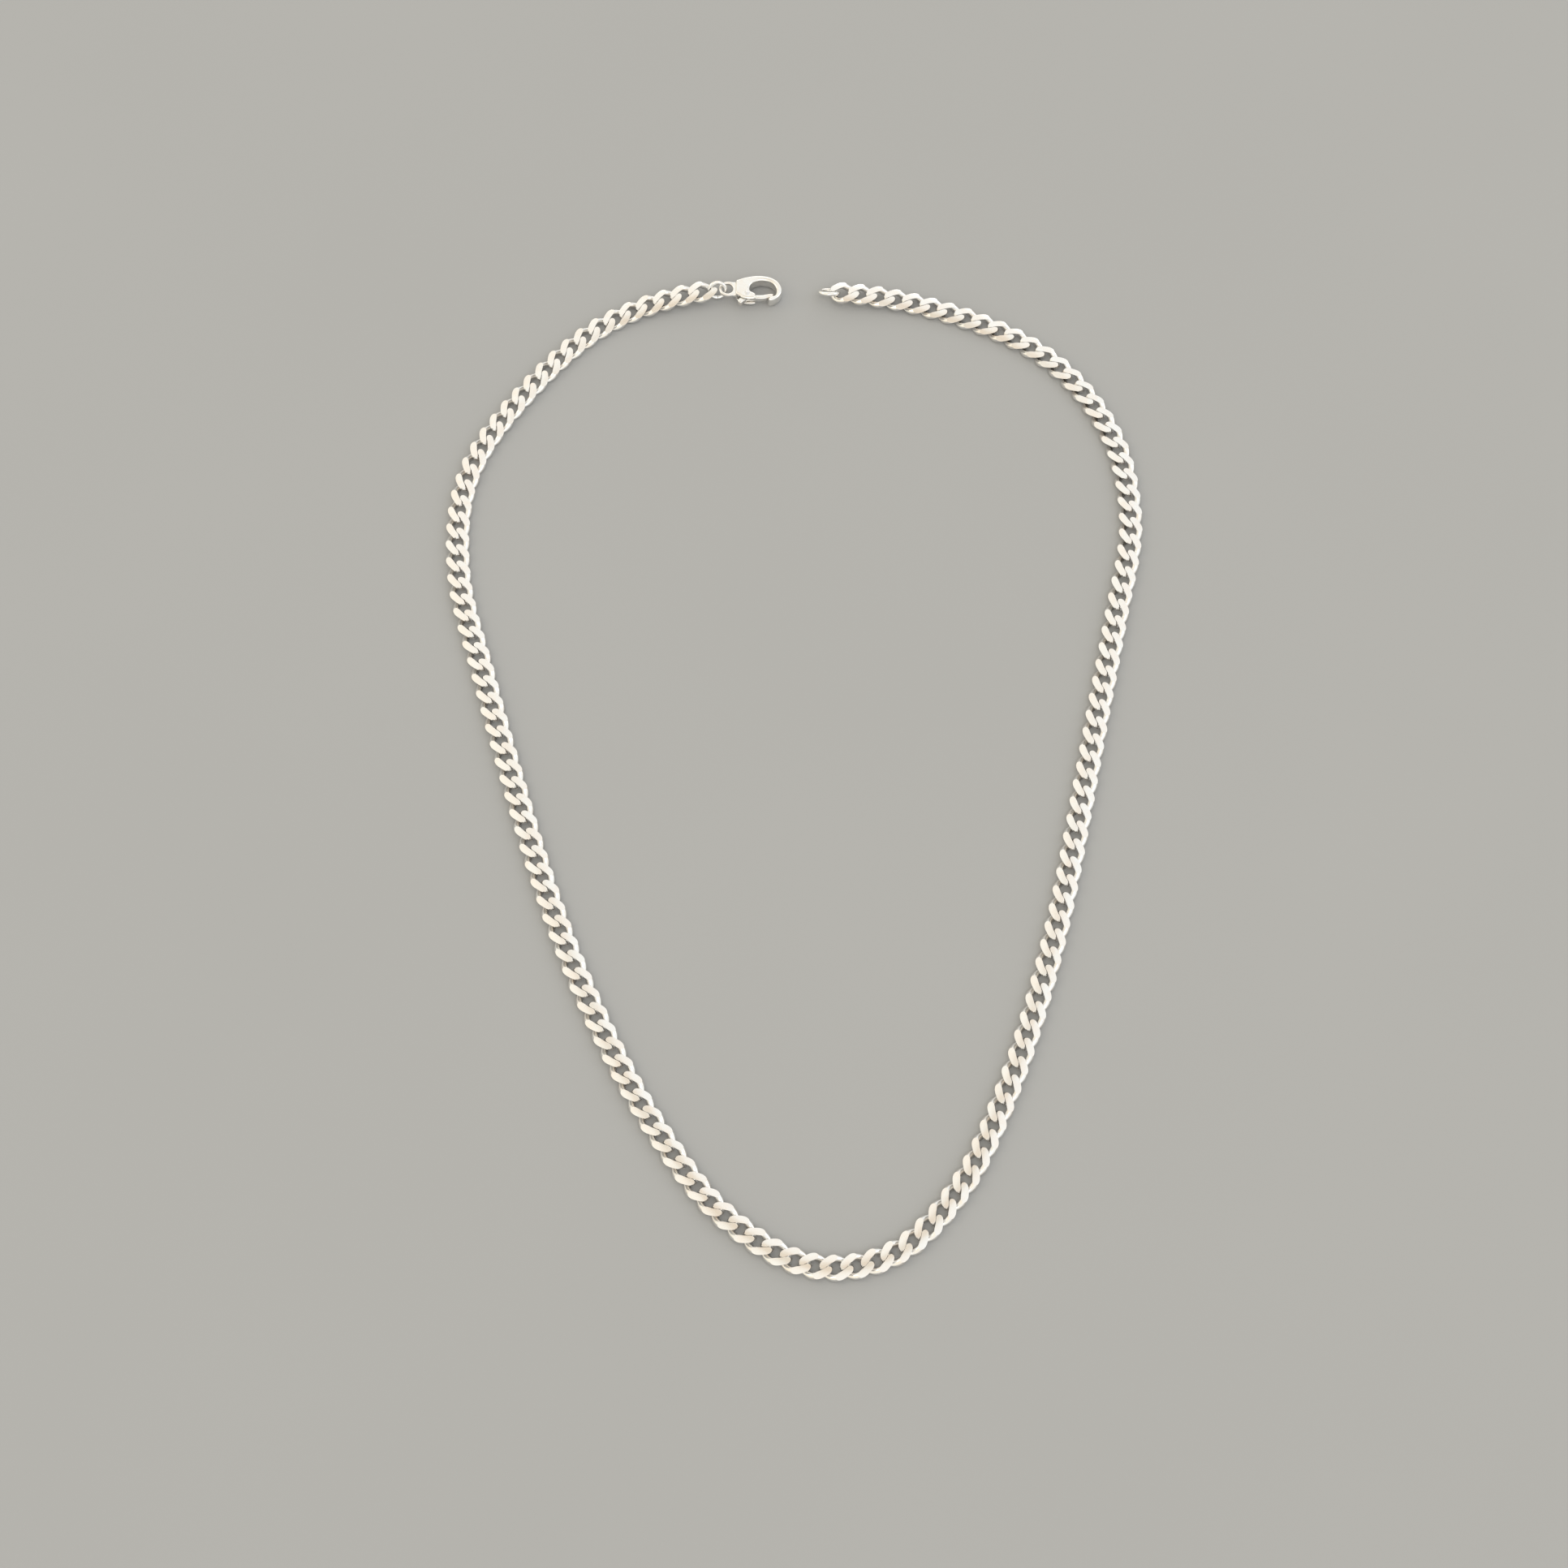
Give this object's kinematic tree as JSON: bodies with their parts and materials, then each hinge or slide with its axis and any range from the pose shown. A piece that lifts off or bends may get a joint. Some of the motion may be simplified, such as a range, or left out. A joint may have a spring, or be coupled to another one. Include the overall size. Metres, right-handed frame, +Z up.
{
  "type": "chain necklace",
  "caption": "Polished silver flat curb chain necklace laid in an open loop, filed links hinged link on link, with jump ring, lobster clasp with sprung lever, and end ring",
  "frame": {"origin": "under the middle of the laid-out loop, on the surface it lies on", "axes": "+Z up from the surface, +Y from the bottom of the U to the opening at the clasp, +X to the right strand"},
  "size_m": [0.13, 0.1976, 0.0034],
  "materials": {
    "sterling_silver": "polished, filed flat faces",
    "rhodium_pin": "turned",
    "spring_steel": "drawn wire"
  },
  "bodies": {
    "chain_run_01": {"chain_run_01": "sterling_silver"},
    "chain_run_02": {"chain_run_02": "sterling_silver"},
    "chain_run_03": {"chain_run_03": "sterling_silver"},
    "chain_run_04": {"chain_run_04": "sterling_silver"},
    "chain_run_05": {"chain_run_05": "sterling_silver"},
    "chain_run_06": {"chain_run_06": "sterling_silver"},
    "chain_run_07": {"chain_run_07": "sterling_silver"},
    "chain_run_08": {"chain_run_08": "sterling_silver"},
    "chain_run_09": {"chain_run_09": "sterling_silver"},
    "chain_run_10": {"chain_run_10": "sterling_silver"},
    "chain_run_11": {"chain_run_11": "sterling_silver"},
    "chain_run_12": {"chain_run_12": "sterling_silver"},
    "chain_run_13": {"chain_run_13": "sterling_silver"},
    "chain_run_14": {"chain_run_14": "sterling_silver"},
    "chain_run_15": {"chain_run_15": "sterling_silver"},
    "chain_run_16": {"chain_run_16": "sterling_silver"},
    "chain_run_17": {"chain_run_17": "sterling_silver"},
    "chain_run_18": {"chain_run_18": "sterling_silver"},
    "chain_run_19": {"chain_run_19": "sterling_silver"},
    "chain_run_20": {"chain_run_20": "sterling_silver"},
    "chain_run_21": {"chain_run_21": "sterling_silver"},
    "chain_run_22": {"chain_run_22": "sterling_silver"},
    "chain_run_23": {"chain_run_23": "sterling_silver"},
    "chain_run_24": {"chain_run_24": "sterling_silver"},
    "chain_run_25": {"chain_run_25": "sterling_silver"},
    "chain_run_26": {"chain_run_26": "sterling_silver"},
    "chain_run_27": {"chain_run_27": "sterling_silver"},
    "chain_run_28": {"chain_run_28": "sterling_silver"},
    "chain_run_29": {"chain_run_29": "sterling_silver"},
    "chain_run_30": {"chain_run_30": "sterling_silver"},
    "chain_run_31": {"chain_run_31": "sterling_silver"},
    "chain_run_32": {"chain_run_32": "sterling_silver"},
    "chain_run_33": {"chain_run_33": "sterling_silver"},
    "chain_run_34": {"chain_run_34": "sterling_silver"},
    "chain_run_35": {"chain_run_35": "sterling_silver"},
    "chain_run_36": {"chain_run_36": "sterling_silver"},
    "chain_run_37": {"chain_run_37": "sterling_silver"},
    "chain_run_38": {"chain_run_38": "sterling_silver"},
    "chain_run_39": {"chain_run_39": "sterling_silver"},
    "chain_run_40": {"chain_run_40": "sterling_silver"},
    "chain_run_41": {"chain_run_41": "sterling_silver"},
    "chain_run_42": {"chain_run_42": "sterling_silver"},
    "chain_run_43": {"chain_run_43": "sterling_silver"},
    "chain_run_44": {"chain_run_44": "sterling_silver"},
    "chain_run_45": {"chain_run_45": "sterling_silver"},
    "chain_run_46": {"chain_run_46": "sterling_silver"},
    "jump_ring": {"jump_ring": "sterling_silver"},
    "clasp": {"clasp_body": "sterling_silver", "clasp_pivot_pin": "rhodium_pin", "clasp_spring": "spring_steel"},
    "clasp_lever": {"clasp_lever": "sterling_silver"},
    "end_ring": {"end_ring": "sterling_silver"}
  },
  "joints": [
    {"name": "end_ring_tilt", "type": "hinge", "parent": "chain_run_46", "child": "end_ring", "pos_m": [0.00802, 0.09554, 0.00175], "axis": [0.0782, 0.9969, 0], "range_deg": [0, 20]},
    {"name": "lever_pivot", "type": "hinge", "parent": "clasp", "child": "clasp_lever", "pos_m": [-0.00921, 0.09483, 0.00155], "axis": [0.0515, -0.0007, 0.9987], "range_deg": [0, 18], "stiffness_Nm_per_rad": 0.004},
    {"name": "clasp_swing", "type": "hinge", "parent": "jump_ring", "child": "clasp", "pos_m": [-0.01409, 0.0962, 0.00175], "axis": [0, 0, 1], "range_deg": [-10, 20]},
    {"name": "jump_ring_tilt", "type": "hinge", "parent": "chain_run_01", "child": "jump_ring", "pos_m": [-0.01603, 0.09599, 0.00175], "axis": [0.1682, -0.9858, 0], "range_deg": [0, 20]},
    {"name": "flex_22", "type": "hinge", "parent": "chain_run_23", "child": "chain_run_22", "pos_m": [-0.00175, -0.09466, 0.00072], "axis": [0.4144, 0.9101, 0], "range_deg": [0, 15]},
    {"name": "flex_24", "type": "hinge", "parent": "chain_run_23", "child": "chain_run_24", "pos_m": [0.00847, -0.09639, 0.00072], "axis": [0.096, -0.9954, 0], "range_deg": [0, 15]},
    {"name": "swing_01", "type": "hinge", "parent": "chain_run_02", "child": "chain_run_01", "pos_m": [-0.02625, 0.09365, 0.00124], "axis": [-0.0672, -0.0216, 0.9975], "range_deg": [-8, 8]},
    {"name": "flex_46", "type": "hinge", "parent": "chain_run_45", "child": "chain_run_46", "pos_m": [0.01846, 0.09442, 0.00124], "axis": [0.1608, 0.987, 0], "range_deg": [0, 15]},
    {"name": "swing_21", "type": "hinge", "parent": "chain_run_22", "child": "chain_run_21", "pos_m": [-0.01048, -0.08888, 0.00072], "axis": [0, 0, 1], "range_deg": [0, 8]},
    {"name": "swing_25", "type": "hinge", "parent": "chain_run_24", "child": "chain_run_25", "pos_m": [0.01826, -0.09292, 0.00072], "axis": [0, 0, -1], "range_deg": [0, 8]},
    {"name": "flex_02", "type": "hinge", "parent": "chain_run_03", "child": "chain_run_02", "pos_m": [-0.03578, 0.08931, 0.00072], "axis": [0.5368, -0.8437, 0], "range_deg": [0, 15]},
    {"name": "swing_45", "type": "hinge", "parent": "chain_run_44", "child": "chain_run_45", "pos_m": [0.02863, 0.09187, 0.00072], "axis": [-0.0103, 0.0035, -0.9999], "range_deg": [-8, 8]},
    {"name": "flex_20", "type": "hinge", "parent": "chain_run_21", "child": "chain_run_20", "pos_m": [-0.01767, -0.08126, 0.00072], "axis": [0.7978, 0.6029, 0], "range_deg": [0, 15]},
    {"name": "flex_26", "type": "hinge", "parent": "chain_run_25", "child": "chain_run_26", "pos_m": [0.02564, -0.0855, 0.00072], "axis": [0.7872, -0.6167, 0], "range_deg": [0, 15]},
    {"name": "swing_03", "type": "hinge", "parent": "chain_run_04", "child": "chain_run_03", "pos_m": [-0.04376, 0.08253, 0.00072], "axis": [0, 0, 1], "range_deg": [-8, 8]},
    {"name": "flex_44", "type": "hinge", "parent": "chain_run_43", "child": "chain_run_44", "pos_m": [0.03833, 0.08788, 0.00072], "axis": [0.4463, 0.8949, 0], "range_deg": [0, 15]},
    {"name": "swing_19", "type": "hinge", "parent": "chain_run_20", "child": "chain_run_19", "pos_m": [-0.0236, -0.0726, 0.00072], "axis": [0, 0, 1], "range_deg": [0, 8]},
    {"name": "swing_27", "type": "hinge", "parent": "chain_run_26", "child": "chain_run_27", "pos_m": [0.03129, -0.07668, 0.00072], "axis": [0, 0, -1], "range_deg": [0, 8]},
    {"name": "flex_04", "type": "hinge", "parent": "chain_run_05", "child": "chain_run_04", "pos_m": [-0.05051, 0.0745, 0.00072], "axis": [0.7958, -0.6055, 0], "range_deg": [0, 15]},
    {"name": "swing_43", "type": "hinge", "parent": "chain_run_42", "child": "chain_run_43", "pos_m": [0.04722, 0.08232, 0.00072], "axis": [0, 0, -1], "range_deg": [-8, 8]},
    {"name": "flex_18", "type": "hinge", "parent": "chain_run_19", "child": "chain_run_18", "pos_m": [-0.02889, -0.06353, 0.00072], "axis": [0.8815, 0.4722, 0], "range_deg": [0, 15]},
    {"name": "flex_28", "type": "hinge", "parent": "chain_run_27", "child": "chain_run_28", "pos_m": [0.03555, -0.06708, 0.00072], "axis": [0.923, -0.3849, 0], "range_deg": [0, 15]},
    {"name": "swing_05", "type": "hinge", "parent": "chain_run_06", "child": "chain_run_05", "pos_m": [-0.05653, 0.06589, 0.00072], "axis": [0, 0, 1], "range_deg": [0, 8]},
    {"name": "flex_42", "type": "hinge", "parent": "chain_run_41", "child": "chain_run_42", "pos_m": [0.05436, 0.07467, 0.00072], "axis": [0.8118, 0.584, 0], "range_deg": [0, 15]},
    {"name": "swing_17", "type": "hinge", "parent": "chain_run_18", "child": "chain_run_17", "pos_m": [-0.03363, -0.05416, 0.00072], "axis": [0, 0, 1], "range_deg": [0, 8]},
    {"name": "swing_29", "type": "hinge", "parent": "chain_run_28", "child": "chain_run_29", "pos_m": [0.03931, -0.05728, 0.00072], "axis": [0, 0, -1], "range_deg": [0, 8]},
    {"name": "flex_06", "type": "hinge", "parent": "chain_run_07", "child": "chain_run_06", "pos_m": [-0.06107, 0.05646, 0.00072], "axis": [0.9519, -0.3064, 0], "range_deg": [0, 15]},
    {"name": "swing_41", "type": "hinge", "parent": "chain_run_40", "child": "chain_run_41", "pos_m": [0.05949, 0.06553, 0.00072], "axis": [0, 0, -1], "range_deg": [0, 8]},
    {"name": "flex_16", "type": "hinge", "parent": "chain_run_17", "child": "chain_run_16", "pos_m": [-0.03793, -0.04458, 0.00072], "axis": [0.9213, 0.3888, 0], "range_deg": [0, 15]},
    {"name": "flex_30", "type": "hinge", "parent": "chain_run_29", "child": "chain_run_30", "pos_m": [0.04254, -0.04729, 0.00072], "axis": [0.9567, -0.2911, 0], "range_deg": [0, 15]},
    {"name": "swing_07", "type": "hinge", "parent": "chain_run_08", "child": "chain_run_07", "pos_m": [-0.0628, 0.04613, 0.00072], "axis": [0, 0, 1], "range_deg": [0, 8]},
    {"name": "flex_40", "type": "hinge", "parent": "chain_run_39", "child": "chain_run_40", "pos_m": [0.06221, 0.05542, 0.00072], "axis": [0.9896, 0.1439, 0], "range_deg": [0, 15]},
    {"name": "swing_15", "type": "hinge", "parent": "chain_run_16", "child": "chain_run_15", "pos_m": [-0.04177, -0.03482, 0.00072], "axis": [0, 0, 1], "range_deg": [0, 8]},
    {"name": "swing_31", "type": "hinge", "parent": "chain_run_30", "child": "chain_run_31", "pos_m": [0.0454, -0.03719, 0.00072], "axis": [0, 0, -1], "range_deg": [0, 8]},
    {"name": "flex_08", "type": "hinge", "parent": "chain_run_09", "child": "chain_run_08", "pos_m": [-0.06242, 0.03565, 0.00072], "axis": [0.9943, 0.1066, 0], "range_deg": [0, 15]},
    {"name": "swing_39", "type": "hinge", "parent": "chain_run_38", "child": "chain_run_39", "pos_m": [0.06279, 0.04495, 0.00072], "axis": [0, 0, -1], "range_deg": [0, 8]},
    {"name": "flex_14", "type": "hinge", "parent": "chain_run_15", "child": "chain_run_14", "pos_m": [-0.04523, -0.0249, 0.00072], "axis": [0.9483, 0.3173, 0], "range_deg": [0, 15]},
    {"name": "flex_32", "type": "hinge", "parent": "chain_run_31", "child": "chain_run_32", "pos_m": [0.0479, -0.02699, 0.00072], "axis": [0.9754, -0.2206, 0], "range_deg": [0, 15]},
    {"name": "swing_09", "type": "hinge", "parent": "chain_run_10", "child": "chain_run_09", "pos_m": [-0.06037, 0.02537, 0.00072], "axis": [0, 0, 1], "range_deg": [0, 8]},
    {"name": "flex_38", "type": "hinge", "parent": "chain_run_37", "child": "chain_run_38", "pos_m": [0.06122, 0.03458, 0.00072], "axis": [0.9755, -0.2198, 0], "range_deg": [0, 15]},
    {"name": "swing_13", "type": "hinge", "parent": "chain_run_14", "child": "chain_run_13", "pos_m": [-0.04842, -0.0149, 0.00072], "axis": [0, 0, 1], "range_deg": [0, 8]},
    {"name": "swing_33", "type": "hinge", "parent": "chain_run_32", "child": "chain_run_33", "pos_m": [0.05012, -0.01673, 0.00072], "axis": [0, 0, -1], "range_deg": [0, 8]},
    {"name": "flex_10", "type": "hinge", "parent": "chain_run_11", "child": "chain_run_10", "pos_m": [-0.05732, 0.01532, 0.00072], "axis": [0.9595, 0.2816, 0], "range_deg": [0, 15]},
    {"name": "swing_37", "type": "hinge", "parent": "chain_run_36", "child": "chain_run_37", "pos_m": [0.05887, 0.02435, 0.00072], "axis": [0, 0, -1], "range_deg": [0, 8]},
    {"name": "flex_12", "type": "hinge", "parent": "chain_run_13", "child": "chain_run_12", "pos_m": [-0.05145, -0.00484, 0.00072], "axis": [0.9577, 0.2877, 0], "range_deg": [0, 15]},
    {"name": "flex_34", "type": "hinge", "parent": "chain_run_33", "child": "chain_run_34", "pos_m": [0.0523, -0.00646, 0.00072], "axis": [0.9788, -0.2049, 0], "range_deg": [0, 15]},
    {"name": "swing_11", "type": "hinge", "parent": "chain_run_12", "child": "chain_run_11", "pos_m": [-0.05444, 0.00522, 0.00072], "axis": [0, 0, 1], "range_deg": [0, 8]},
    {"name": "flex_36", "type": "hinge", "parent": "chain_run_35", "child": "chain_run_36", "pos_m": [0.05668, 0.01408, 0.00072], "axis": [0.9768, -0.2142, 0], "range_deg": [0, 15]},
    {"name": "swing_35", "type": "hinge", "parent": "chain_run_34", "child": "chain_run_35", "pos_m": [0.05445, 0.00382, 0.00072], "axis": [0, 0, -1], "range_deg": [0, 8]}
  ]
}
